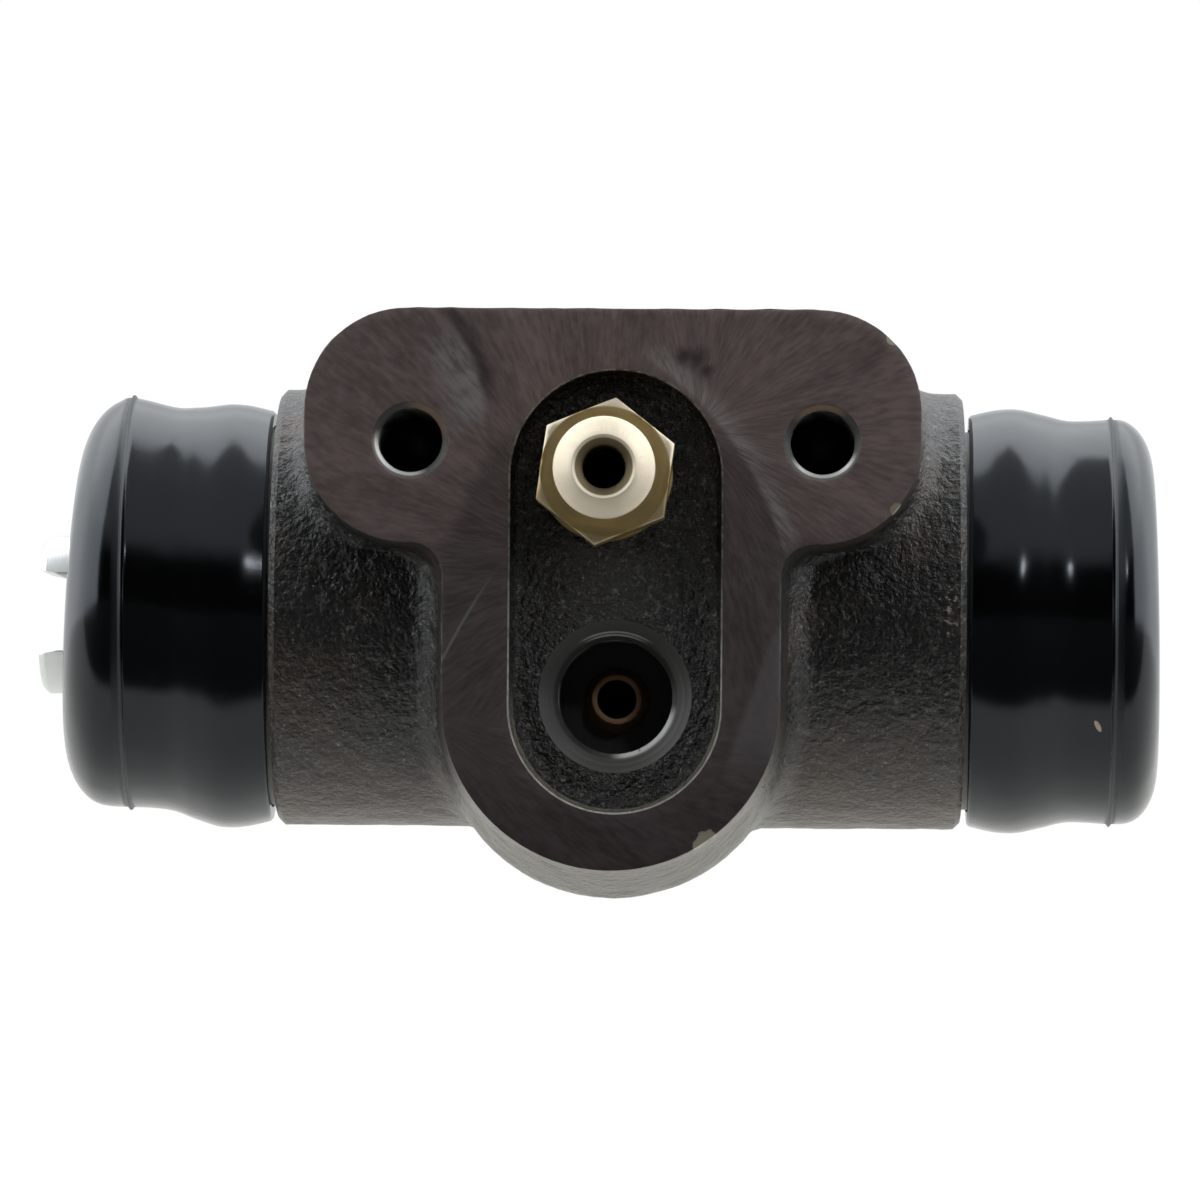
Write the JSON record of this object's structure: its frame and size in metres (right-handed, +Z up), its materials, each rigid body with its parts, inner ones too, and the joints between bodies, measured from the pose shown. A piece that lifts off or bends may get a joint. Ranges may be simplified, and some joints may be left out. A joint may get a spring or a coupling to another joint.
{
  "type": "wheel cylinder",
  "caption": "Drum-brake wheel cylinder: cast housing with a mushroom-shaped mounting pad, a recess with bleeder screw and inlet port, slotted pistons and rubber dust boots.",
  "frame": {"origin": "on the mounting face, midway between the two mounting threads", "axes": "+X along the bore, -Y out of the mounting face, +Z up as in the picture"},
  "size_m": [0.09, 0.0522, 0.046],
  "materials": {
    "cast_body": "as-cast charcoal skin with a machined satin pad",
    "piston_metal": "bright turned",
    "seal_rubber": "smooth moulded",
    "expander_steel": "pressed sheet",
    "spring_steel": "drawn wire",
    "boot_rubber": "glossy black moulded",
    "bleeder_brass": "turned, yellow-passivated look",
    "seat_brass": "turned, coppery"
  },
  "bodies": {
    "cylinder_body": {"cylinder_body": "cast_body", "left_boot": "boot_rubber", "right_boot": "boot_rubber", "return_spring": "spring_steel", "inlet_seat": "seat_brass"},
    "left_seals": {"left_cup": "seal_rubber", "left_cup_expander": "expander_steel"},
    "left_piston": {"left_piston": "piston_metal"},
    "right_seals": {"right_cup": "seal_rubber", "right_cup_expander": "expander_steel"},
    "right_piston": {"right_piston": "piston_metal"},
    "bleeder_screw": {"bleeder_screw": "bleeder_brass"}
  },
  "joints": [
    {"name": "left_piston_slide", "type": "slide", "parent": "cylinder_body", "child": "left_seals", "axis": [-1, 0, 0], "range_m": [-0.0058, 0.0032], "stiffness_N_per_m": 800, "deforming": ["left_boot", "return_spring"]},
    {"name": "left_piston_turn", "type": "hinge", "parent": "left_seals", "child": "left_piston", "pos_m": [-0.03, 0.026, -0.0127], "axis": [-1, 0, 0], "continuous": true},
    {"name": "right_piston_slide", "type": "slide", "parent": "cylinder_body", "child": "right_seals", "axis": [1, 0, 0], "range_m": [-0.0019, 0.0071], "stiffness_N_per_m": 800, "deforming": ["right_boot", "return_spring"]},
    {"name": "right_piston_turn", "type": "hinge", "parent": "right_seals", "child": "right_piston", "pos_m": [0.026, 0.026, -0.0127], "axis": [1, 0, 0], "continuous": true},
    {"name": "bleeder_turn", "type": "hinge", "parent": "cylinder_body", "child": "bleeder_screw", "pos_m": [-0.0008, 0, -0.0025], "axis": [0, -1, 0], "range_deg": [0, 360]}
  ]
}
